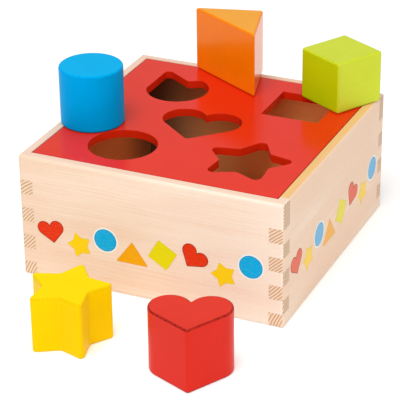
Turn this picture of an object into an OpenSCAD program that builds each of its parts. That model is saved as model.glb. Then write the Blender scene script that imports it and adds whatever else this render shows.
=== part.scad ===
// Wooden shape sorter: a finger-jointed beech box with a lift-out lid and five shaped blocks.
// Millimetres, +Z up. The origin is the middle of the underside of the base panel, which lies
// level with the bottom edges of the walls. The front wall faces -Y.

/* [Box] */
// Outside width and depth of the square box
box_w = 170; // [160:1:240]
// Outside height of the box
box_h = 80; // [64:1:120]
// Thickness of the four wall boards
wall_t = 9; // [7.5:0.5:12]
// Radius on the outer edges of the box
edge_r = 2; // [0.5:0.1:3]
// Thickness of the base panel
base_t = 4; // [3:0.5:8]
// How far the base panel reaches under each wall
base_seat = 4; // [2:0.5:5]

/* [Corner joints] */
// Height of the tall top finger, which clears the seat of the lid
top_finger_h = 16; // [12:0.5:22]
// Glue gap between the fingers of two boards, and round the base panel
joint_gap = 0.06; // [0.02:0.01:0.2]

/* [Lid] */
// Thickness of the lid, which lies level with the tops of the walls
lid_t = 5; // [4:0.5:8]
// Width of the wall tops left showing round the lid
rim_w = 6; // [4:0.5:6.5]
// Gap between the lid and the wall all round
lid_gap = 0.6; // [0.3:0.1:1.5]

/* [Holes] */
// Gap between each block and its hole all round
shape_gap = 1.3; // [0.8:0.1:2]
// Gap between the square block and its hole, which is a closer fit
square_gap = 0.9; // [0.6:0.1:2]
// Middle of the round hole, as a share of the lid's width from its middle
round_at = [-0.214, -0.307];
// Middle of the heart hole, as a share of the lid's width
heart_at = [-0.027, 0.0155];
// Middle of the star hole, as a share of the lid's width
star_at = [0.276, -0.252];
// Middle of the square hole, as a share of the lid's width
square_at = [0.2795, 0.281];
// Middle of the hole with one square corner, as a share of the lid's width
corner_at = [-0.2455, 0.258];
// Turn of the heart hole
heart_hole_turn = 4; // [-20:1:20]

/* [Hole with one corner] */
// Radius of its round side
corner_hole_r = 20; // [16:0.5:24]
// How far its straight side is cut in from the round
corner_hole_flat = 1; // [0.5:0.5:3]
// How far its square corner stands above its middle
corner_hole_peak = 24; // [20:0.5:26]
// Height from its middle up to the hollow beside the corner
corner_hole_dip = 13.8; // [8:0.2:18]
// Slopes of the hollow's two sides
corner_hole_slopes = [33, 28];
// Rounding of its corners
corner_hole_soft = 2.4; // [1:0.1:3]

/* [Blocks] */
// Radius of the round block
round_r = 19.7; // [16:0.1:24]
// Height of the round block
round_h = 37; // [24:0.5:50]
// Side of the square block's outline
cube_side = 35.5; // [28:0.1:42]
// Height of the square block, which is close to a cube
cube_h = 33.5; // [24:0.5:50]
// Side of the two short edges of the triangular block
triangle_leg = 44; // [34:0.5:52]
// Height of the triangular block
triangle_h = 42; // [24:0.5:50]
// Distance from the heart's middle line to the middle of a lobe
heart_lobe_x = 11.5; // [9.5:0.1:14]
// Depth by which the two lobes run into each other
heart_lobe_meet = 0.9; // [0.1:0.1:2]
// Distance from the lobes to the middle of the rounded tip
heart_tip_y = 25; // [20:0.5:30]
// Radius of the heart's tip
heart_tip_r = 1.4; // [0.8:0.1:3]
// Height of the heart block
heart_h = 40; // [24:0.5:50]
// Radius of the star to its tips, before they are rounded
star_r = 27; // [22:0.5:32]
// Radius of the star to its inner corners, as a share of the radius to its tips
star_waist = 0.554; // [0.5:0.01:0.65]
// Rounding of the star's tips
star_tip_r = 2.2; // [1:0.1:3]
// Rounding of the star's inner corners
star_waist_r = 3; // [1:0.1:5]
// Height of the star block
star_h = 35; // [24:0.5:50]
// Radius on the edges of the round block
block_edge_r = 1.2; // [0.5:0.1:2]

/* [Where the blocks stand] */
// Round block on the lid, as a share of the lid's width
round_block_at = [-0.4223, -0.1506];
// Square corner of the triangular block on the lid, as a share of the lid's width
triangle_block_at = [0.0013, 0.5676];
// Turn of the triangular block
triangle_turn = 15.4; // [-45:0.1:45]
// Middle of the cube on the lid, as a share of the lid's width
cube_block_at = [0.399, 0.421];
// Turn of the cube
cube_turn = -29.2; // [-45:0.1:45]
// Star block on the ground: across from the middle, and out from the front wall
star_block_at = [-23.5, 57.1];
// Turn of the star block
star_turn = 7.6; // [-36:0.1:36]
// Heart block on the ground: across from the middle, and out from the front wall
heart_block_at = [54, 59.2];
// Turn of the heart block
heart_turn = 19.8; // [-90:0.1:90]

/* [Printed band] */
// Bare wood left at each end of the printed row
band_margin = 12; // [10:0.5:20]
// Bare wood left between two motifs
motif_gap = 2.25; // [1.5:0.25:4]
// Height of the middle of the row above the ground
band_z = 31; // [26:0.5:44]
// Width of the pale ring round a printed circle
ring_w = 1; // [0.4:0.1:1.4]
// Rounding of the corners of the printed stars, triangles and squares
ink_corner_r = 0.5; // [0.2:0.1:1]
// Thickness of the ink
ink_t = 0.1; // [0.05:0.05:0.3]

/* [Hidden] */
$fn = 96;

half_w = box_w / 2;
inner_half = half_w - wall_t;
lid_seat_half = half_w - rim_w;
lid_half = lid_seat_half - lid_gap;
lid_w = 2 * lid_half;
base_seat_half = inner_half + base_seat;
// Fingers below the tall one: odd, so that a side board's finger is at the bottom and under it
finger_count = 7;
finger_h = (box_h - top_finger_h) / finger_count;
half_gap = joint_gap / 2;
heart_lobe_r = heart_lobe_x + heart_lobe_meet;
// Straight pieces in each arc of an outline
arc_steps = 20;
// How far a cutter reaches past the face it cuts
past = 1;

motif_w = (box_w - 2 * band_margin) / 8 - motif_gap;
// The printed row, from left to right as each wall is looked at: place along the wall as a
// share of its width, height above the row's middle as a share of a motif's width, and turn
HEARTS = [[-0.38, 0.12, 12], [0.169, 0.24, -33]];
STARS = [[-0.269, -0.22, 20], [0.282, -0.22, 20]];
CIRCLES = [[-0.167, 0.21], [0.382, 0.34]];
TRIANGLES = [[-0.0653, -0.55, 0]];
SQUARES = [[0.0524, 0.075, -31]];
// Sizes of the printed motifs, as shares of a motif's width
heart_ink_w = 1.11;
star_ink_r = [0.53, 0.32];
circle_ink_r = 0.456;
triangle_ink = [[-0.66, 0], [0.66, 0], [0.02, 0.91]];
square_ink_w = 0.87;

// ---- Outlines ----

// Points along an arc, evenly spaced from one angle to another
function arc(middle, radius, from, to) = [
    for (i = [0 : arc_steps])
        let(angle = from + (to - from) * i / arc_steps)
        middle + radius * [cos(angle), sin(angle)]
];

// Right-hand half of a heart, from its tip up to its notch, grown all round by gap
function half_heart(gap) =
    let(lobe = heart_lobe_r + gap,
        tip = heart_tip_r + gap,
        reach = norm([heart_lobe_x, heart_tip_y]),
        // Direction in which the straight side faces: it touches the tip and the lobe
        side = atan2(heart_tip_y, heart_lobe_x) - acos((tip - lobe) / reach),
        // Where the lobe meets the heart's middle line
        notch = acos(-heart_lobe_x / lobe))
    concat(arc([0, -heart_tip_y], tip, -90, side),
        arc([heart_lobe_x, 0], lobe, side, notch));

// Heart with its lobes on the X axis and its tip towards -Y, grown all round by gap
module heart_outline(gap = 0) {
    half = half_heart(gap);
    last = len(half) - 1;
    polygon(concat(half, [for (i = [last - 1 : -1 : 1]) [-half[i][0], half[i][1]]]));
}

// Points of a five-pointed star with one tip towards +Y
function star_points(tip_radius, waist_radius) = [
    for (i = [0 : 9])
        let(r = i % 2 == 0 ? tip_radius : waist_radius)
        [-r * sin(36 * i), r * cos(36 * i)]
];

// Star with rounded tips and soft inner corners, grown all round by gap
module star_outline(gap = 0) {
    offset(r = star_tip_r + gap, $fn = 48)
        offset(r = -star_waist_r - star_tip_r, $fn = 48)
            offset(delta = star_waist_r)
                polygon(star_points(star_r, star_r * star_waist));
}

// Triangular block's outline: its square corner at the origin, its legs towards -X and -Y
module triangle_outline() {
    polygon([[0, 0], [-triangle_leg, 0], [0, -triangle_leg]]);
}

// A disc with one straight side that runs up to a square corner, and a hollow beside the corner
module corner_hole_outline() {
    flat_x = corner_hole_flat - corner_hole_r;
    dip = [corner_hole_flat, corner_hole_dip];
    reach = 2 * corner_hole_r;
    left_side = 180 - corner_hole_slopes[0];
    right_side = corner_hole_slopes[1];
    offset(r = corner_hole_soft, $fn = 48)
        offset(r = -2 * corner_hole_soft, $fn = 48)
            offset(delta = corner_hole_soft)
                difference() {
                    union() {
                        circle(r = corner_hole_r);
                        translate([flat_x, 0]) square([-flat_x, corner_hole_peak]);
                    }
                    polygon([dip, dip + reach * [cos(right_side), sin(right_side)], dip + [0, reach],
                        dip + reach * [cos(left_side), sin(left_side)]]);
                    translate([flat_x - reach, -reach]) square([reach, 2 * reach]);
                }
}

// ---- Box ----

// Cutter that rounds a straight edge along X, which lies at the origin with wood towards +Y, +Z
module edge_cutter(length) {
    rotate([90, 0, 90])
        linear_extrude(length, center = true)
            difference() {
                translate([-past, -past]) square(edge_r + past);
                translate([edge_r, edge_r]) circle(r = edge_r);
            }
}

// Cutters for all twelve outer edges of the box
module outer_edge_cutters() {
    for (turn = [0 : 90 : 270]) rotate([0, 0, turn]) {
        translate([0, -half_w, 0]) edge_cutter(box_w + 2 * past);
        translate([0, -half_w, box_h]) mirror([0, 0, 1]) edge_cutter(box_w + 2 * past);
        translate([-half_w, -half_w, box_h / 2]) rotate([0, 90, 0])
            edge_cutter(box_h + 2 * past);
    }
}

// Seats for the lid and the base, routed into the inside of the finished box
module seats() {
    translate([-lid_seat_half, -lid_seat_half, box_h - lid_t])
        cube([2 * lid_seat_half, 2 * lid_seat_half, lid_t + past]);
    translate([-base_seat_half - half_gap, -base_seat_half - half_gap, -past])
        cube([2 * base_seat_half + joint_gap, 2 * base_seat_half + joint_gap,
            base_t + half_gap + past]);
}

// A board that stands along the front of the box, from end to end
module board() {
    translate([-half_w, -half_w, 0]) cube([box_w, wall_t, box_h]);
}

// Sockets at both ends of a board for the other board's fingers: first is 0 for the fingers at
// the bottom and every second one above, and 1 for those between them with the tall top finger
module sockets(first) {
    reach = wall_t + half_gap;
    for (side = [-1, 1], i = [first : 2 : finger_count]) {
        low = i == 0 ? -past : i * finger_h - half_gap;
        high = i == finger_count ? box_h + past : (i + 1) * finger_h + half_gap;
        translate([side > 0 ? half_w - reach : -half_w - past, -half_w - past, low])
            cube([reach + past, wall_t + 2 * past, high - low]);
    }
}

// One wall in the front position: first says which fingers of the other board it makes room for
module wall(first) {
    difference() {
        board();
        sockets(first);
        seats();
        outer_edge_cutters();
    }
}

module front_wall() { color("bisque") wall(0); }

module back_wall() { color("bisque") rotate([0, 0, 180]) wall(0); }

module left_wall() { color("wheat") rotate([0, 0, -90]) wall(1); }

module right_wall() { color("wheat") rotate([0, 0, 90]) wall(1); }

// The base panel, level with the bottom edges of the walls
module base_panel() {
    color("burlywood")
        translate([-base_seat_half, -base_seat_half, 0])
            cube([2 * base_seat_half, 2 * base_seat_half, base_t]);
}

// ---- Lid ----

module lid_panel() {
    color("red")
        difference() {
            translate([-lid_half, -lid_half, box_h - lid_t]) cube([lid_w, lid_w, lid_t]);
            translate([0, 0, box_h - lid_t - past]) lid_holes();
        }
}

// The five holes, as solids that pass right through the lid
module lid_holes() {
    deep = lid_t + 2 * past;
    square_side = cube_side + 2 * square_gap;
    translate(lid_w * round_at) cylinder(r = round_r + shape_gap, h = deep);
    translate(lid_w * heart_at) rotate([0, 0, heart_hole_turn])
        linear_extrude(deep) heart_outline(shape_gap);
    translate(lid_w * star_at) linear_extrude(deep) star_outline(shape_gap);
    translate(lid_w * square_at) translate([-square_side / 2, -square_side / 2, 0])
        cube([square_side, square_side, deep]);
    translate(lid_w * corner_at) linear_extrude(deep) corner_hole_outline();
}

// ---- Blocks ----

// Round block with rounded edges, turned about its own axis
module round_block() {
    color("deepskyblue")
        translate([lid_w * round_block_at[0], lid_w * round_block_at[1], box_h])
            rotate_extrude()
                union() {
                    square([round_r - block_edge_r, round_h]);
                    translate([0, block_edge_r]) square([round_r, round_h - 2 * block_edge_r]);
                    for (z = [block_edge_r, round_h - block_edge_r])
                        translate([round_r - block_edge_r, z]) circle(r = block_edge_r);
                }
}

module triangle_block() {
    color("darkorange")
        translate([lid_w * triangle_block_at[0], lid_w * triangle_block_at[1], box_h])
            rotate([0, 0, triangle_turn]) linear_extrude(triangle_h) triangle_outline();
}

module cube_block() {
    color("yellowgreen")
        translate([lid_w * cube_block_at[0], lid_w * cube_block_at[1], box_h])
            rotate([0, 0, cube_turn])
                translate([-cube_side / 2, -cube_side / 2, 0]) cube([cube_side, cube_side, cube_h]);
}

module star_block() {
    color("gold")
        translate([star_block_at[0], -half_w - star_block_at[1], 0])
            rotate([0, 0, star_turn]) linear_extrude(star_h) star_outline();
}

module heart_block() {
    color("crimson")
        translate([heart_block_at[0], -half_w - heart_block_at[1], 0])
            rotate([0, 0, heart_turn]) linear_extrude(heart_h) heart_outline();
}

// ---- Printed row ----

// Puts a flat child, drawn with +X along the wall and +Y up, on the outside of all four walls
module on_each_wall(place) {
    for (side = [0 : 90 : 270])
        rotate([0, 0, side])
            translate([place[0] * box_w, -half_w, band_z + place[1] * motif_w])
                rotate([90, 0, 0])
                    linear_extrude(ink_t) rotate(place[2]) children();
}

// Rounds the outer corners of an inked outline
module soft_corners() {
    offset(r = ink_corner_r, $fn = 32) offset(delta = -ink_corner_r) children();
}

module printed_hearts() {
    color("red")
        for (place = HEARTS) on_each_wall(place)
            scale(heart_ink_w * motif_w / (2 * (heart_lobe_x + heart_lobe_r)))
                translate([0, heart_lobe_r / 2]) heart_outline();
}

module printed_stars() {
    color("gold")
        for (place = STARS) on_each_wall(place)
            soft_corners() polygon(motif_w * star_points(star_ink_r[0], star_ink_r[1]));
}

module printed_circles() {
    color("dodgerblue")
        for (place = CIRCLES) on_each_wall([place[0], place[1], 0])
            circle(r = circle_ink_r * motif_w);
}

module printed_rings() {
    color("white")
        for (place = CIRCLES) on_each_wall([place[0], place[1], 0])
            difference() {
                circle(r = circle_ink_r * motif_w + ring_w);
                circle(r = circle_ink_r * motif_w);
            }
}

module printed_triangles() {
    color("orange")
        for (place = TRIANGLES) on_each_wall(place)
            soft_corners() polygon(motif_w * triangle_ink);
}

module printed_squares() {
    color("gold")
        for (place = SQUARES) on_each_wall(place)
            soft_corners() square(square_ink_w * motif_w, center = true);
}

front_wall();
back_wall();
left_wall();
right_wall();
base_panel();
lid_panel();
round_block();
triangle_block();
cube_block();
star_block();
heart_block();
printed_hearts();
printed_stars();
printed_circles();
printed_rings();
printed_triangles();
printed_squares();
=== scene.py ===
"""Looks of the wooden shape sorter: bare beech box, lacquered lid and blocks, printed walls."""

from __future__ import annotations

import logging
import math
from dataclasses import dataclass, field
from enum import Enum
from typing import Union

import bpy
from mathutils import Matrix, Vector


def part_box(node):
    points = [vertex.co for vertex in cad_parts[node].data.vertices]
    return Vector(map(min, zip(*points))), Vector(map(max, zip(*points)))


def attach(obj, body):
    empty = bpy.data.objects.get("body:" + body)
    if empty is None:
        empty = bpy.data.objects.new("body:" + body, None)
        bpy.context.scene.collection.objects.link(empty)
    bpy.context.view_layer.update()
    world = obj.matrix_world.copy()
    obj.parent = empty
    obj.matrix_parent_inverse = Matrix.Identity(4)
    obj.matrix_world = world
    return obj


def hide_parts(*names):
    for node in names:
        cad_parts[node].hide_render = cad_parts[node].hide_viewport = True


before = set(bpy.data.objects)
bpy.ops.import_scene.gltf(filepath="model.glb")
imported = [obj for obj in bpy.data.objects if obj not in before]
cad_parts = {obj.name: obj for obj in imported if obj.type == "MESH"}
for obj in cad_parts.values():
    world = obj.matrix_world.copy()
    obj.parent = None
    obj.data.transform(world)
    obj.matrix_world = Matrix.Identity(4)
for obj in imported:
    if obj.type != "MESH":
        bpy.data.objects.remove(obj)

LOG = logging.getLogger("shape_sorter")
MM = 0.001
PER_METRE = 1000.0
# Name of the mesh attribute that is 1 on rounded edges and on the rims of prints
EDGE = "edge"
# Corners of a copied CAD mesh closer than this are one corner, in millimetres
WELD_MM = 0.002
# Faces that meet at less than this are one flat face, in degrees
FLAT_DEGREES = 0.5

Colour = tuple[float, float, float]
# Features per millimetre along a piece's three axes
Fineness = tuple[float, float, float]
Value = Union["Signal", float, int, tuple]


def tint(red: float, green: float, blue: float, light: float = 1.04) -> Colour:
    """The paint that looks like a given colour under the studio's light.

    Args:
        red: how red it looks, 0 to 255.
        green: how green it looks, 0 to 255.
        blue: how blue it looks, 0 to 255.
        light: how bright white paint is where the colour was judged.

    Returns:
        The linear colour of the paint.
    """
    shown = [c / 255.0 for c in (red, green, blue)]
    linear = [c / 12.92 if c <= 0.04045 else ((c + 0.055) / 1.055) ** 2.4 for c in shown]
    return tuple(min(c / light, 1.0) for c in linear)


# ---------------------------------------------------------------- shader expressions


class Signal:
    """An output of a shader node, with arithmetic that adds Math nodes."""

    def __init__(self, graph: "Graph", socket: bpy.types.NodeSocket) -> None:
        """Wraps one output socket.

        Args:
            graph: the graph that the socket's node is in.
            socket: the output socket itself.
        """
        self.graph = graph
        self.socket = socket

    def _math(self, operation: str, first: Value, second: Value = 0.0) -> "Signal":
        """Adds one Math node.

        Args:
            operation: the Math node's operation.
            first: its first value.
            second: its second value.

        Returns:
            The node's result.
        """
        return self.graph.node("Math", {"operation": operation}, {0: first, 1: second})

    def __add__(self, other: Value) -> "Signal":
        """This plus other."""
        return self._math("ADD", self, other)

    __radd__ = __add__

    def __sub__(self, other: Value) -> "Signal":
        """This minus other."""
        return self._math("SUBTRACT", self, other)

    def __rsub__(self, other: Value) -> "Signal":
        """Other minus this."""
        return self._math("SUBTRACT", other, self)

    def __mul__(self, other: Value) -> "Signal":
        """This times other."""
        return self._math("MULTIPLY", self, other)

    __rmul__ = __mul__

    def __truediv__(self, other: Value) -> "Signal":
        """This divided by other."""
        return self._math("DIVIDE", self, other)

    def __pow__(self, other: Value) -> "Signal":
        """This to the power of other."""
        return self._math("POWER", self, other)

    def fraction(self) -> "Signal":
        """The part of this after the decimal point."""
        return self._math("FRACT", self)

    def size(self) -> "Signal":
        """This without its sign."""
        return self._math("ABSOLUTE", self)

    def between(self, low: float, high: float) -> "Signal":
        """A smooth step of this.

        Args:
            low: where the step starts.
            high: where it ends. Below low, the step falls.

        Returns:
            0 at low, 1 at high, and an eased curve between them.
        """
        falls = high < low
        return self.graph.node(
            "MapRange",
            {"interpolation_type": "SMOOTHSTEP"},
            {
                "Value": self,
                "From Min": min(low, high),
                "From Max": max(low, high),
                "To Min": 1.0 if falls else 0.0,
                "To Max": 0.0 if falls else 1.0,
            },
        )


class Graph:
    """The node tree of one material, built from expressions."""

    def __init__(self, name: str) -> None:
        """Starts an empty material.

        Args:
            name: the material's name.
        """
        self.material = bpy.data.materials.new(name)
        self.material.use_nodes = True
        self.tree = self.material.node_tree
        self.tree.nodes.clear()

    def node(
        self,
        kind: str,
        settings: dict | None = None,
        inputs: dict | None = None,
        output: str | None = None,
    ) -> Signal | None:
        """Adds a node.

        Args:
            kind: the node's type, without the ShaderNode in front of it.
            settings: properties to set first.
            inputs: values or signals for its sockets, by name or number.
            output: name of the output to give back, instead of the first one in use.

        Returns:
            The chosen output, or nothing for a node that has none.
        """
        made = self.tree.nodes.new("ShaderNode" + kind)
        for key, value in (settings or {}).items():
            setattr(made, key, value)
        for key, value in (inputs or {}).items():
            self._feed(made.inputs[key], value)
        if output:
            return Signal(self, made.outputs[output])
        in_use = [socket for socket in made.outputs if socket.enabled]
        return Signal(self, in_use[0]) if in_use else None

    def _feed(self, socket: bpy.types.NodeSocket, value: Value) -> None:
        """Links a signal to a socket, or sets the socket's own value.

        Args:
            socket: the input to feed.
            value: a signal, a number, or a colour or vector as a tuple.
        """
        if isinstance(value, Signal):
            self.tree.links.new(value.socket, socket)
        elif socket.type == "RGBA":
            socket.default_value = (*value, 1.0)
        else:
            socket.default_value = value

    def place(self, turn: float = 0.0) -> Signal:
        """The point on the piece, in millimetres.

        Args:
            turn: turn of the pattern about the upright axis, in degrees.

        Returns:
            A vector signal.
        """
        return self._turned("Object", turn, PER_METRE)

    def facing(self, turn: float = 0.0) -> tuple[Signal, Signal, Signal]:
        """The way that the surface faces.

        Args:
            turn: turn of the pattern about the upright axis, in degrees.

        Returns:
            The x, y and z of the surface's normal.
        """
        return self.axes(self._turned("Normal", turn, 1.0))

    def _turned(self, source: str, turn: float, scale: float) -> Signal:
        """A texture coordinate, turned the other way from the pattern and scaled.

        Args:
            source: the coordinate's name.
            turn: the pattern's turn in degrees.
            scale: factor on all three axes.

        Returns:
            A vector signal.
        """
        return self.node(
            "Mapping",
            {"vector_type": "POINT"},
            {
                "Vector": self.node("TexCoord", output=source),
                "Rotation": (0.0, 0.0, -math.radians(turn)),
                "Scale": (scale, scale, scale),
            },
        )

    def axes(self, vector: Signal) -> tuple[Signal, Signal, Signal]:
        """The three numbers of a vector.

        Args:
            vector: the vector to split.

        Returns:
            Its x, y and z.
        """
        outputs = self.node("SeparateXYZ", inputs={0: vector}).socket.node.outputs
        return tuple(Signal(self, socket) for socket in outputs)

    def vector(self, x: Value, y: Value, z: Value) -> Signal:
        """A vector from three numbers."""
        return self.node("CombineXYZ", inputs={0: x, 1: y, 2: z})

    def noise(
        self, vector: Signal, scale: tuple | float, detail: float = 2.0, rough: float = 0.5
    ) -> Signal:
        """Smooth noise of about 0 to 1.

        Args:
            vector: where to read it.
            scale: bumps per unit of the vector, along each axis or along all.
            detail: octaves.
            rough: how strong the finer octaves are.

        Returns:
            The noise.
        """
        if isinstance(scale, tuple):
            vector = self.node("VectorMath", {"operation": "MULTIPLY"}, {0: vector, 1: scale})
            scale = 1.0
        inputs = {"Vector": vector, "Scale": scale, "Detail": detail, "Roughness": rough}
        return self.node("TexNoise", inputs=inputs, output="Fac")

    def mix(self, amount: Value, first: Value, second: Value) -> Signal:
        """A colour between two colours.

        Args:
            amount: 0 for the first colour, 1 for the second.
            first: the first colour.
            second: the second colour.

        Returns:
            The mixed colour.
        """
        return self.node("Mix", {"data_type": "RGBA"}, {0: amount, 6: first, 7: second})

    def shade(self, colour: Value, amount: Value) -> Signal:
        """A colour times a number.

        Args:
            colour: the colour.
            amount: 1 leaves it, less darkens it.

        Returns:
            The shaded colour.
        """
        grey = self.vector(amount, amount, amount)
        settings = {"data_type": "RGBA", "blend_type": "MULTIPLY"}
        return self.node("Mix", settings, {0: 1.0, 6: colour, 7: grey})

    def bump(self, height: Signal, depth_mm: float, strength: float) -> Signal:
        """A normal that follows a height.

        Args:
            height: the height, 0 to 1.
            depth_mm: how deep 1 is, in millimetres.
            strength: how much of it shows.

        Returns:
            The normal.
        """
        inputs = {"Height": height, "Distance": depth_mm * MM, "Strength": strength}
        return self.node("Bump", inputs=inputs)

    def finish(self, inputs: dict) -> bpy.types.Material:
        """Ends the material in a Principled shader.

        Args:
            inputs: values or signals for the shader's sockets.

        Returns:
            The material.
        """
        shader = self.node("BsdfPrincipled", inputs=inputs)
        self.node("OutputMaterial", inputs={"Surface": shader})
        return self.material


# ---------------------------------------------------------------- finishes


class Grain(Enum):
    """The axis that a piece's wood fibres run along."""

    X = 0
    Y = 1
    Z = 2


@dataclass(frozen=True)
class BareBeech:
    """Sanded, unfinished beech with growth rings round a pith line beside the board.

    A fineness is given along the fibres, across them and upwards. A tone of 0 is the light
    wood and 1 is the dark, and a shade is a share of the colour that is taken off.
    """

    grain: Grain
    seed: float
    light: Colour = tint(246, 228, 209)
    dark: Colour = tint(238, 205, 178)
    end_light: Colour = tint(240, 213, 187)
    end_dark: Colour = tint(200, 160, 122)
    rim: Colour = tint(240, 207, 184)
    # Colour of the faces inside the box: painted shade, with red light bounced off the lid painted in
    inside: Colour = (0.98, 0.45, 0.12)
    end_tone: float = 1.0
    browner: float = 0.0
    # Painted light: the board grows lighter towards its right end
    painted_light_right: float = 0.0
    # Painted light and shade: the inside face grows lighter towards the board's right end and darker
    # towards its left
    inside_painted_light_right: float = 0.0
    pith: tuple[float, float] = (63.0, -32.0)
    ring_mm: float = 1.75
    wander_mm: float = 7.0
    wobble_mm: float = 0.5
    streaks: Fineness = (0.022, 0.9, 0.9)
    clouds: Fineness = (0.010, 0.035, 0.045)
    hairs: Fineness = (0.25, 6.0, 6.0)
    flecks: Fineness = (0.32, 2.4, 2.4)
    pores: float = 3.2
    mean_tone: float = 0.40
    ring_tone: float = 0.04
    year_tone: float = 0.12
    streak_tone: float = 0.8
    cloud_tone: float = 1.5
    hair_shade: float = 0.06
    fleck_shade: float = 0.08
    cover: float = 0.9
    inside_from_mm: float = 0.8
    inside_full_mm: float = 0.4
    # Painted shade in the back-left corner inside the box: it fades in from this far from the inner
    # walls to this far, and darkens by this share
    corner_shade_from_mm: float = 44.0
    corner_shade_to_mm: float = 4.0
    corner_shade_share: float = 0.62
    relief_mm: float = 0.05

    def material(self, name: str, centre: float, inner_half: float) -> bpy.types.Material:
        """Builds the finish.

        Args:
            name: the material's name.
            centre: the board's middle across its grain, in millimetres.
            inner_half: half the inside width of the box, in millimetres.

        Returns:
            The material.
        """
        g = Graph(name)
        place = g.place()
        x, y, z = g.axes(place)
        along, across = (x, y) if self.grain is Grain.X else (y, x)
        fibre = g.vector(along, across + self.seed, z)
        wander = g.noise(fibre, (0.010, 0.03, 0.03)) - 0.5
        wobble = g.noise(fibre, (0.03, 0.30, 0.30)) - 0.5
        dx = across - (centre + self.pith[0])
        dz = z - self.pith[1]
        radius = (dx * dx + dz * dz) ** 0.5 + wander * self.wander_mm + wobble * self.wobble_mm
        turns = radius / self.ring_mm
        ring = turns.fraction()
        late = ring.between(0.2, 0.75) * ring.between(1.0, 0.88)
        year = g.noise(g.vector(turns * 0.35, 0.0, self.seed), 1.0, 1.0)

        streak = g.noise(fibre, self.streaks, 4.0, 0.62)
        cloud = g.noise(fibre, self.clouds)
        hair = g.noise(fibre, self.hairs)
        fleck = g.noise(fibre, self.flecks, 1.0).between(0.60, 0.72)
        tone = late * (self.ring_tone + self.year_tone * year)
        tone = tone + (streak - 0.5) * self.streak_tone + (cloud - 0.5) * self.cloud_tone
        # The last term paints light that grows towards the board's right end
        tone = tone + self.mean_tone + self.browner - self.painted_light_right * along / inner_half
        side = g.mix(tone.between(0.0, 1.0), self.light, self.dark)
        side = g.shade(side, 1.02 - self.hair_shade * hair - self.fleck_shade * fleck)

        facing = g.facing()
        up = facing[2].between(0.8, 0.97)
        side = g.mix(up * self.cover, side, g.shade(self.rim, 0.84 + 0.3 * streak))
        # Faces inside the box take the inside colour: painted shade and painted red bounce light
        skin, depth = inner_half + self.inside_from_mm, inner_half + self.inside_full_mm
        inner = x.size().between(skin, depth) * y.size().between(skin, depth)
        # Painted shade: the back-left inside corner is darkened
        corner_shade_start, corner_shade_end = inner_half - self.corner_shade_from_mm, inner_half - self.corner_shade_to_mm
        painted_corner_shade = (0.0 - x).between(corner_shade_start, corner_shade_end) * y.between(corner_shade_start, corner_shade_end)
        shade = (0.80 + 0.4 * streak) * (1.0 - self.corner_shade_share * painted_corner_shade)
        # Painted light and shade on the inside faces, lighter towards the board's right end
        shade = shade * (1.0 + self.inside_painted_light_right * along / inner_half)
        side = g.mix(inner * self.cover, side, g.shade(self.inside, shade))

        end = facing[self.grain.value].size().between(0.66, 0.8)
        pore = g.noise(place, self.pores)
        rays = g.noise(g.vector(dx / dz * 60.0, radius * 0.08, 0.0), 1.0)
        deep = late * (0.45 + 0.8 * year) + (pore - 0.5) * 0.4 + (rays - 0.5) * 0.3
        ends = g.mix(deep.between(0.0, 0.85), self.end_light, self.end_dark)
        colour = g.mix(end, side, g.shade(ends, self.end_tone))

        relief = late * 0.12 + hair * 0.6 - fleck * 0.6 + pore * end * 0.6
        return g.finish(
            {
                "Base Color": colour,
                "Roughness": 0.48 + 0.12 * streak + 0.12 * end,
                "Specular IOR Level": 0.2,
                "Sheen Weight": 0.1,
                "Sheen Roughness": 0.25,
                "Normal": g.bump(relief, self.relief_mm, 0.5),
            }
        )


@dataclass(frozen=True)
class Plywood:
    """Thin beech plywood: a rotary-cut face and ply edges; its top face, inside the box, is painted in
    the brown of shade with red light bounced off the lid.
    """

    pale: Colour = tint(226, 182, 136)
    pale_dark: Colour = tint(205, 152, 104)
    # Painted shade, with the lid's red bounce light, for the top face inside the box
    inside_shade_brown: Colour = (0.86, 0.38, 0.13)
    inside_shade_brown_dark: Colour = (0.70, 0.26, 0.075)
    plies: int = 3
    hairs: Fineness = (0.3, 6.0, 6.0)
    dashes: Fineness = (0.30, 2.0, 2.0)
    relief_mm: float = 0.05

    def material(self, name: str, thickness: float) -> bpy.types.Material:
        """Builds the finish.

        Args:
            name: the material's name.
            thickness: thickness of the panel in millimetres, from z = 0 up.

        Returns:
            The material.
        """
        g = Graph(name)
        place = g.place()
        x, y, z = g.axes(place)
        wander = g.noise(place, (0.008, 0.03, 0.03))
        bands = g.noise(g.vector(y * 0.10 + wander * 14.0, x * 0.003, 0.0), 1.0, 3.0, 0.6)
        hair = g.noise(place, self.hairs)
        dash = g.noise(place, self.dashes, 1.0).between(0.58, 0.72)
        up = g.facing()[2]
        # Upward faces take the painted shade colours, downward faces the pale wood
        light = g.mix(up.between(0.4, 0.6), self.pale, self.inside_shade_brown)
        dark = g.mix(up.between(0.4, 0.6), self.pale_dark, self.inside_shade_brown_dark)
        face = g.mix(bands.between(0.3, 0.75), light, dark)
        ply = (z / (thickness / self.plies)).fraction()
        middle = (z / thickness - 0.5).size().between(0.2, 0.16)
        edge = g.shade(g.mix(middle, self.pale, self.pale_dark), 0.75 + 0.25 * ply.between(0.02, 0.15))
        colour = g.mix(up.size().between(0.5, 0.7), edge, face)
        return g.finish(
            {
                "Base Color": g.shade(colour, 1.03 - 0.07 * hair - 0.10 * dash),
                "Roughness": 0.58 + 0.1 * hair,
                "Specular IOR Level": 0.12,
                "Normal": g.bump(hair * 0.5 + bands * 0.2 - dash * 0.4, self.relief_mm, 0.5),
            }
        )


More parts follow.
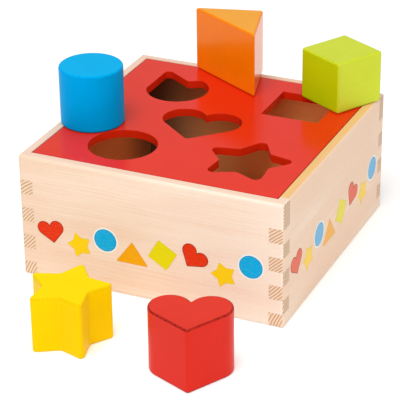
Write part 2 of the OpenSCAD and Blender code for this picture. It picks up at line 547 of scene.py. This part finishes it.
@dataclass(frozen=True)
class Lacquer:
    """Coloured lacquer on beech: the grain shows faintly, and it wears along the edges."""

    colour: Colour
    # Colour of the faces across the grain: end grain with painted light and shade; on most blocks
    # these are the tops, painted lighter as if lit from above
    end_face_lit_colour: Colour
    grain: Grain = Grain.Z
    gloss: float = 0.3
    specular: float = 0.15
    specular_tint: Colour = (1.0, 1.0, 1.0)
    grain_show: float = 0.10
    worn: float = 0.15
    edge_tone: float = 0.0
    streak_across: float = 0.9
    streak_along: float = 0.05
    relief_mm: float = 0.03

    def material(self, name: str, turn: float = 0.0) -> bpy.types.Material:
        """Builds the finish.

        Args:
            name: the material's name.
            turn: turn of the piece about the upright axis, in degrees.

        Returns:
            The material.
        """
        g = Graph(name)
        place = g.place(turn)
        stretch = [self.streak_across] * 3
        stretch[self.grain.value] = self.streak_along
        streak = g.noise(place, tuple(stretch), 4.0, 0.6)
        cloud = g.noise(place, 0.05)
        pull = g.noise(place, 0.8)
        dust = g.noise(place, 3.0).between(0.74, 0.8)
        edge = g.node("Attribute", {"attribute_name": EDGE}, output="Fac")
        chips = edge * g.noise(place, 1.4).between(0.5, 0.66)
        # Faces across the grain take their own colour: painted light and shade as well as end grain
        end = g.facing(turn)[self.grain.value].size().between(0.75, 0.95)
        shade = 1.0 + self.grain_show * (streak - 0.5) + 0.10 * (cloud - 0.5)
        shade = shade - self.worn * chips - self.edge_tone * edge
        relief = streak * 0.5 + pull * 0.5 + dust * 0.3 - chips * 0.4
        return g.finish(
            {
                "Base Color": g.shade(g.mix(end, self.colour, self.end_face_lit_colour), shade),
                "Roughness": self.gloss + 0.10 * (pull - 0.5) + 0.06 * streak + 0.1 * chips,
                "Specular IOR Level": self.specular,
                "Specular Tint": self.specular_tint,
                "Normal": g.bump(relief, self.relief_mm, 0.35),
            }
        )


@dataclass(frozen=True)
class PrintedInk:
    """Screen-printed ink that lets the fibres of the wood under it show."""

    colour: Colour
    wood: Colour = tint(246, 216, 188)
    line: float = 0.1
    cover: float = 0.93
    # Painted glare: ink on faces turned to the right is mixed toward the wood colour, as if washed out
    # by a grazing reflection
    right_side_glare: float = 0.2
    relief_mm: float = 0.02

    def material(self, name: str) -> bpy.types.Material:
        """Builds the finish.

        Args:
            name: the material's name.

        Returns:
            The material.
        """
        g = Graph(name)
        place = g.place()
        fibre = g.noise(place, (0.25, 0.25, 5.0), 3.0)
        mottle = g.noise(place, 1.6, 3.0)
        thin_ink_and_glare = (fibre * 0.6 + mottle * 0.4).between(0.50, 0.8) * (3.0 * (1.0 - self.cover))
        # Painted glare: faces turned to the right are washed out toward the wood colour
        thin_ink_and_glare = thin_ink_and_glare + g.facing()[0].between(0.5, 0.9) * self.right_side_glare
        edge = g.node("Attribute", {"attribute_name": EDGE}, output="Fac")
        tone = (0.97 + 0.08 * mottle) * (1.0 - self.line * edge)
        return g.finish(
            {
                "Base Color": g.shade(g.mix(thin_ink_and_glare, self.colour, self.wood), tone),
                "Roughness": 0.40 + 0.10 * mottle,
                "Specular IOR Level": 0.05,
                "Sheen Weight": 0.2,
                "Sheen Roughness": 0.12,
                "Normal": g.bump(fibre * 0.6 + mottle * 0.4, self.relief_mm, 0.4),
            }
        )


@dataclass(frozen=True)
class StudioPaper:
    """The pale seamless floor, lit a little from below as on a light table."""

    colour: Colour = (0.93, 0.93, 0.93)
    glow: float = 0.2

    def material(self, name: str) -> bpy.types.Material:
        """Builds the finish.

        Args:
            name: the material's name.

        Returns:
            The material.
        """
        g = Graph(name)
        tooth = g.noise(g.place(), 0.4)
        return g.finish(
            {
                "Base Color": g.shade(self.colour, 0.99 + 0.02 * tooth),
                "Roughness": 0.9,
                "Specular IOR Level": 0.1,
                "Emission Color": self.colour,
                "Emission Strength": self.glow,
            }
        )


# ---------------------------------------------------------------- mesh work


class Bench:
    """Mesh work with Blender's own operators, one piece at a time."""

    @staticmethod
    def clear() -> None:
        """Leaves edit mode and deselects everything."""
        if bpy.context.object and bpy.context.object.mode != "OBJECT":
            bpy.ops.object.mode_set(mode="OBJECT")
        bpy.ops.object.select_all(action="DESELECT")

    @classmethod
    def pick(cls, piece: bpy.types.Object) -> None:
        """Makes one piece the only selected and active one.

        Args:
            piece: the piece to pick.
        """
        cls.clear()
        piece.select_set(True)
        bpy.context.view_layer.objects.active = piece

    @classmethod
    def copy_of(cls, node: str, name: str) -> bpy.types.Object:
        """A clean solid in the shape of a CAD node, to be worked further.

        Args:
            node: the CAD node whose shape it takes.
            name: the new piece's name.

        Returns:
            A piece with welded corners and whole flat faces.
        """
        piece = bpy.data.objects.new(name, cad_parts[node].data.copy())
        piece.data.name = name
        piece.data.materials.clear()
        bpy.context.scene.collection.objects.link(piece)
        cls.pick(piece)
        if piece.data.has_custom_normals:
            bpy.ops.mesh.customdata_custom_splitnormals_clear()
        bpy.ops.object.mode_set(mode="EDIT")
        bpy.ops.mesh.select_all(action="SELECT")
        bpy.ops.mesh.remove_doubles(threshold=WELD_MM * MM)
        bpy.ops.mesh.dissolve_limited(angle_limit=math.radians(FLAT_DEGREES))
        bpy.ops.mesh.normals_make_consistent(inside=False)
        bpy.ops.object.mode_set(mode="OBJECT")
        return piece

    @classmethod
    def settle(cls, piece: bpy.types.Object, name: str, turn: float = 0.0) -> bpy.types.Object:
        """Names a new primitive, turns it about its middle and puts its place into its mesh.

        Args:
            piece: the primitive.
            name: its name.
            turn: its turn about the upright axis, in degrees.

        Returns:
            The piece.
        """
        piece.name = name
        piece.data.name = name
        cls.pick(piece)
        piece.rotation_euler.z = math.radians(turn)
        bpy.ops.object.transform_apply(location=True, rotation=True, scale=True)
        return piece

    @classmethod
    def round_over(
        cls, piece: bpy.types.Object, radius: float, steps: int = 4, corner: float = 32.0
    ) -> None:
        """Rounds every edge sharper than an angle, marks it, and shades the piece smooth.

        Args:
            piece: the piece to round.
            radius: the round-over's radius in metres.
            steps: straight pieces across it.
            corner: the least angle in degrees that counts as an edge.
        """
        cls.pick(piece)
        bpy.ops.object.shade_smooth()
        # Two empty slots: the bevel puts its own faces in the second, which tells them apart
        for _ in range(2):
            piece.data.materials.append(None)
        bevel = piece.modifiers.new("round_over", "BEVEL")
        bevel.width = radius
        bevel.segments = steps
        bevel.limit_method = "ANGLE"
        bevel.angle_limit = math.radians(corner)
        bevel.harden_normals = True
        bevel.miter_outer = "MITER_ARC"
        bevel.material = 1
        bpy.ops.object.modifier_apply(modifier=bevel.name)
        mark = piece.data.attributes.new(EDGE, "FLOAT", "CORNER")
        for face in piece.data.polygons:
            for loop in face.loop_indices:
                mark.data[loop].value = face.material_index
            face.material_index = 0

    @classmethod
    def outline(cls, piece: bpy.types.Object, reach: float, width: float) -> None:
        """Parts off and marks a line along the rim of every face on the outside of the box.

        Args:
            piece: the piece to mark.
            reach: how far from the middle of the box such a face lies at least, in metres.
            width: the line's width in metres.
        """
        cls.pick(piece)
        bpy.ops.object.mode_set(mode="EDIT")
        bpy.ops.mesh.select_mode(type="FACE")
        bpy.ops.mesh.select_all(action="DESELECT")
        bpy.ops.object.mode_set(mode="OBJECT")
        for face in piece.data.polygons:
            face.select = max(abs(face.center.x), abs(face.center.y)) > reach
        bpy.ops.object.mode_set(mode="EDIT")
        bpy.ops.mesh.inset(thickness=width, use_even_offset=True)
        bpy.ops.object.mode_set(mode="OBJECT")
        mark = piece.data.attributes.new(EDGE, "FLOAT", "CORNER")
        for face in piece.data.polygons:
            for loop in face.loop_indices:
                mark.data[loop].value = 0.0 if face.select else 1.0

    @staticmethod
    def dress(piece: bpy.types.Object, material: bpy.types.Material, slot: str) -> None:
        """Gives a piece its finish.

        Args:
            piece: a new piece or a CAD node.
            material: the finish.
            slot: the record's material slot for it; not used.
        """
        piece.data.materials.clear()
        piece.data.materials.append(material)


# ---------------------------------------------------------------- sub-assemblies


@dataclass
class JointedBox:
    """The four finger-jointed beech walls and the plywood base."""

    walls: dict[str, BareBeech] = field(
        default_factory=lambda: {
            "front_wall": BareBeech(Grain.X, seed=0.0, end_tone=0.86, painted_light_right=0.4),
            "back_wall": BareBeech(Grain.X, seed=17.0, end_tone=0.86, inside_painted_light_right=0.8),
            "left_wall": BareBeech(Grain.Y, seed=34.0),
            "right_wall": BareBeech(Grain.Y, seed=51.0, browner=0.35, rim=tint(236, 188, 116)),
        }
    )

    def build(self) -> None:
        """Dresses the walls and the base where the CAD puts them."""
        inner_half = -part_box("left_wall")[1].x * PER_METRE
        for name, finish in self.walls.items():
            low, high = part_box(name)
            across = 1 if finish.grain is Grain.X else 0
            centre = (low[across] + high[across]) / 2 * PER_METRE
            material = finish.material(name, centre, inner_half)
            Bench.dress(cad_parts[name], material, "beech")
            LOG.info("%s: beech, grain along %s", name, finish.grain.name)
        low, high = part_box("base_panel")
        thickness = (high.z - low.z) * PER_METRE
        material = Plywood().material("base_panel", thickness)
        Bench.dress(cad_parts["base_panel"], material, "plywood")
        LOG.info("base_panel: plywood, %.1f mm", thickness)


@dataclass
class DropInLid:
    """The red lid, with eased edges round its rim and its five holes."""

    ease_mm: float = 0.35
    finish: Lacquer = Lacquer(
        tint(224, 40, 10), tint(224, 40, 10), Grain.X, gloss=0.15, specular=0.24, grain_show=0.05
    )

    def build(self) -> None:
        """Makes the lid."""
        lid = Bench.copy_of("lid_panel", "lid")
        Bench.round_over(lid, self.ease_mm * MM, steps=3)
        Bench.dress(lid, self.finish.material("lid"), "lid_lacquer")
        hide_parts("lid_panel")
        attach(lid, "lid")
        LOG.info("lid: %d faces", len(lid.data.polygons))


@dataclass
class Block:
    """One loose block, with rounded edges and coloured lacquer."""

    node: str
    slot: str
    finish: Lacquer
    round_mm: float = 1.2
    turn: float = 0.0

    @property
    def name(self) -> str:
        """The visual piece's name."""
        return self.node.replace("_block", "_piece")

    def shape(self) -> bpy.types.Object:
        """The block with sharp edges.

        Returns:
            A closed solid in its place.
        """
        return Bench.copy_of(self.node, self.name)

    def build(self) -> None:
        """Makes the block."""
        block = self.shape()
        Bench.round_over(block, self.round_mm * MM)
        Bench.dress(block, self.finish.material(self.name, self.turn), self.slot)
        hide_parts(self.node)
        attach(block, self.node)
        LOG.info("%s: %d faces", self.name, len(block.data.polygons))


@dataclass
class RoundBlock(Block):
    """A block turned from a round bar."""

    sides: int = 96

    def shape(self) -> bpy.types.Object:
        """The bar, cut to length.

        Returns:
            A closed solid in its place.
        """
        low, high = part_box(self.node)
        Bench.clear()
        bpy.ops.mesh.primitive_cylinder_add(
            vertices=self.sides,
            radius=(high.x - low.x) / 2,
            depth=high.z - low.z,
            location=(low + high) / 2,
        )
        return Bench.settle(bpy.context.object, self.name)


@dataclass
class SquareBlock(Block):
    """A block sawn from a square bar."""

    def shape(self) -> bpy.types.Object:
        """The bar, cut to length and turned on the lid.

        Returns:
            A closed solid in its place.
        """
        low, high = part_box(self.node)
        turn = math.radians(abs(self.turn))
        side = (high.x - low.x) / (math.cos(turn) + math.sin(turn))
        Bench.clear()
        bpy.ops.mesh.primitive_cube_add(
            size=1.0, location=(low + high) / 2, scale=(side, side, high.z - low.z)
        )
        return Bench.settle(bpy.context.object, self.name, self.turn)


@dataclass
class TriangleBlock(Block):
    """Half a square block, sawn from corner to corner."""

    def shape(self) -> bpy.types.Object:
        """The square bar, sawn in two and turned about its square corner.

        Returns:
            A closed solid in its place.
        """
        low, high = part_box(self.node)
        turn = math.radians(self.turn)
        leg = (high.x - low.x) / (math.cos(turn) + math.sin(turn))
        square_corner = Vector((high.x - leg * math.sin(turn), high.y, (low.z + high.z) / 2))
        middle = square_corner - Matrix.Rotation(turn, 3, "Z") @ Vector((leg / 2, leg / 2, 0.0))
        Bench.clear()
        bpy.ops.mesh.primitive_cube_add(
            size=1.0, location=middle, scale=(leg, leg, high.z - low.z)
        )
        block = Bench.settle(bpy.context.object, self.name, self.turn)
        bpy.ops.object.mode_set(mode="EDIT")
        bpy.ops.mesh.select_all(action="SELECT")
        across = Matrix.Rotation(turn, 3, "Z") @ Vector((1.0, 1.0, 0.0)).normalized()
        bpy.ops.mesh.bisect(plane_co=middle, plane_no=across, use_fill=True, clear_inner=True)
        bpy.ops.mesh.select_all(action="SELECT")
        bpy.ops.mesh.normals_make_consistent(inside=False)
        bpy.ops.object.mode_set(mode="OBJECT")
        return block


@dataclass
class PrintedRow:
    """The printed motifs on the four walls, with a thin line of thicker ink along their rims.

    A face counts as the outside of the ink if it lies past outer_share of the ink's thickness.
    """

    line_mm: float = 0.4
    outer_share: float = 0.7
    inks: dict[str, tuple[str, PrintedInk]] = field(
        default_factory=lambda: {
            "printed_hearts": ("red_ink", PrintedInk(tint(226, 50, 6, 1.08), line=0.6)),
            "printed_stars": ("yellow_ink", PrintedInk(tint(249, 210, 2, 1.08))),
            "printed_circles": ("blue_ink", PrintedInk(tint(0, 172, 228, 1.06), line=0.45)),
            "printed_rings": ("white_ink", PrintedInk(tint(243, 249, 247), cover=1.0, right_side_glare=0.05)),
            "printed_triangles": ("orange_ink", PrintedInk(tint(242, 170, 2, 1.08))),
            "printed_squares": ("lime_ink", PrintedInk(tint(230, 220, 1, 1.08))),
        }
    )

    def build(self) -> None:
        """Inks each motif."""
        wall_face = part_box("front_wall")[1].x
        for node, (slot, ink) in self.inks.items():
            name = node.replace("printed_", "") + "_print"
            ink_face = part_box(node)[1].x
            motifs = Bench.copy_of(node, name)
            reach = wall_face + self.outer_share * (ink_face - wall_face)
            Bench.outline(motifs, reach, self.line_mm * MM)
            Bench.dress(motifs, ink.material(name), slot)
            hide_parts(node)
            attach(motifs, "box")
            LOG.info("%s: %s, %d faces", name, slot, len(motifs.data.polygons))


# ---------------------------------------------------------------- studio


def direction(azimuth: float, elevation: float) -> Vector:
    """The way from the box to something round it.

    Args:
        azimuth: degrees from the front towards the right-hand side.
        elevation: degrees above the horizon.

    Returns:
        A vector of length 1.
    """
    az, el = math.radians(azimuth), math.radians(elevation)
    return Vector((math.sin(az) * math.cos(el), -math.cos(az) * math.cos(el), math.sin(el)))


@dataclass
class Camera:
    """The product camera. Its distance and aim are in widths of the box."""

    azimuth: float = 24.5565
    elevation: float = 26.835
    roll: float = -0.7305
    distance: float = 6.76
    aim_height: float = 0.25
    aim_right: float = -0.0277
    aim_up: float = -0.0809
    lens_mm: float = 166.56
    sensor_mm: float = 36.0
    nearest: float = 0.05

    def build(self, width: float) -> None:
        """Adds the camera.

        Args:
            width: the box's width in metres.
        """
        back = direction(self.azimuth, self.elevation)
        level = direction(self.azimuth + 90.0, 0.0)
        upright = back.cross(level)
        roll = math.radians(self.roll)
        right = math.cos(roll) * level + math.sin(roll) * upright
        up = math.cos(roll) * upright - math.sin(roll) * level
        aim = Vector((0.0, 0.0, self.aim_height)) + self.aim_right * right + self.aim_up * up
        data = bpy.data.cameras.new("camera")
        data.lens = self.lens_mm
        data.sensor_width = self.sensor_mm
        data.clip_start = self.nearest
        camera = bpy.data.objects.new("camera", data)
        turn = Matrix((right, up, back)).transposed().to_4x4()
        camera.matrix_world = Matrix.Translation(width * (aim + self.distance * back)) @ turn
        bpy.context.scene.collection.objects.link(camera)
        bpy.context.scene.camera = camera


@dataclass
class SoftBox:
    """One large soft light, placed by direction from the middle of the box."""

    name: str
    azimuth: float
    elevation: float
    distance: float
    size: float
    power: float

    def build(self, middle: Vector) -> None:
        """Adds the light, facing the box.

        Args:
            middle: the box's middle.
        """
        towards = direction(self.azimuth, self.elevation)
        data = bpy.data.lights.new(self.name, "AREA")
        data.shape = "SQUARE"
        data.size = self.size
        data.energy = self.power
        light = bpy.data.objects.new(self.name, data)
        light.location = middle + self.distance * towards
        light.rotation_euler = towards.to_track_quat("Z", "Y").to_euler()
        bpy.context.scene.collection.objects.link(light)


@dataclass
class Studio:
    """Pale floor, bright surround, soft lights and the camera."""

    floor_size: float = 40.0
    surround: float = 0.55
    lights: list[SoftBox] = field(
        default_factory=lambda: [
            SoftBox("overhead", azimuth=5, elevation=68, distance=1.5, size=0.8, power=13),
            SoftBox("key", azimuth=10, elevation=25, distance=1.8, size=1.2, power=4),
            SoftBox("fill", azimuth=80, elevation=20, distance=1.8, size=1.2, power=3.5),
        ]
    )

    def build(self) -> None:
        """Builds the studio round the box."""
        low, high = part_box("front_wall")
        middle = Vector((0.0, 0.0, (low.z + high.z) / 2))
        Bench.clear()
        bpy.ops.mesh.primitive_plane_add(size=self.floor_size, location=(0, 0, low.z))
        floor = bpy.context.object
        floor.name = "floor"
        floor.data.materials.append(StudioPaper().material("floor"))
        world = bpy.data.worlds.new("surround")
        world.use_nodes = True
        background = world.node_tree.nodes["Background"]
        background.inputs["Color"].default_value = (1.0, 1.0, 1.0, 1.0)
        background.inputs["Strength"].default_value = self.surround
        bpy.context.scene.world = world
        bpy.context.scene.view_settings.view_transform = "Standard"
        for light in self.lights:
            light.build(middle)
        Camera().build(high.x - low.x)
        LOG.info("studio: %d lights", len(self.lights))


def blocks() -> list[Block]:
    """The five loose blocks.

    Returns:
        The blocks, three on the lid and two in front of the box.
    """
    # Each lacquer's second colour is for its faces across the grain: painted light on the tops, and on
    # the cube its own colour for two sides, set to how they are lit
    return [
        RoundBlock(
            "round_block",
            "blue_lacquer",
            Lacquer(
                tint(0, 160, 226), tint(0, 171, 228), specular=0.02, specular_tint=(0.05, 0.6, 1.0)
            ),
            round_mm=1.4,
        ),
        TriangleBlock(
            "triangle_block",
            "orange_lacquer",
            Lacquer(
                tint(247, 126, 0, 0.95),
                tint(243, 162, 22),
                gloss=0.15,
                specular=0.3,
                specular_tint=(1.0, 0.6, 0.1),
            ),
            round_mm=1.5,
            turn=15.4,
        ),
        SquareBlock(
            "cube_block",
            "green_lacquer",
            Lacquer(tint(203, 215, 48), tint(192, 213, 2, 0.96), grain=Grain.Y),
            round_mm=1.6,
            turn=-29.2,
        ),
        Block(
            "star_block",
            "yellow_lacquer",
            Lacquer(tint(251, 207, 0, 1.08), tint(252, 216, 0, 1.08), specular=0.03, edge_tone=0.06),
            round_mm=1.2,
        ),
        Block(
            "heart_block",
            "red_lacquer",
            Lacquer(tint(217, 36, 17), tint(216, 48, 33), specular=0.12, worn=0.6, edge_tone=0.3),
            round_mm=1.5,
        ),
    ]


def main() -> None:
    """Builds every piece, then the studio."""
    logging.basicConfig(level=logging.INFO, format="%(message)s")
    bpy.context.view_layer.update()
    JointedBox().build()
    DropInLid().build()
    for block in blocks():
        block.build()
    PrintedRow().build()
    Studio().build()


if __name__ == "__main__":
    main()
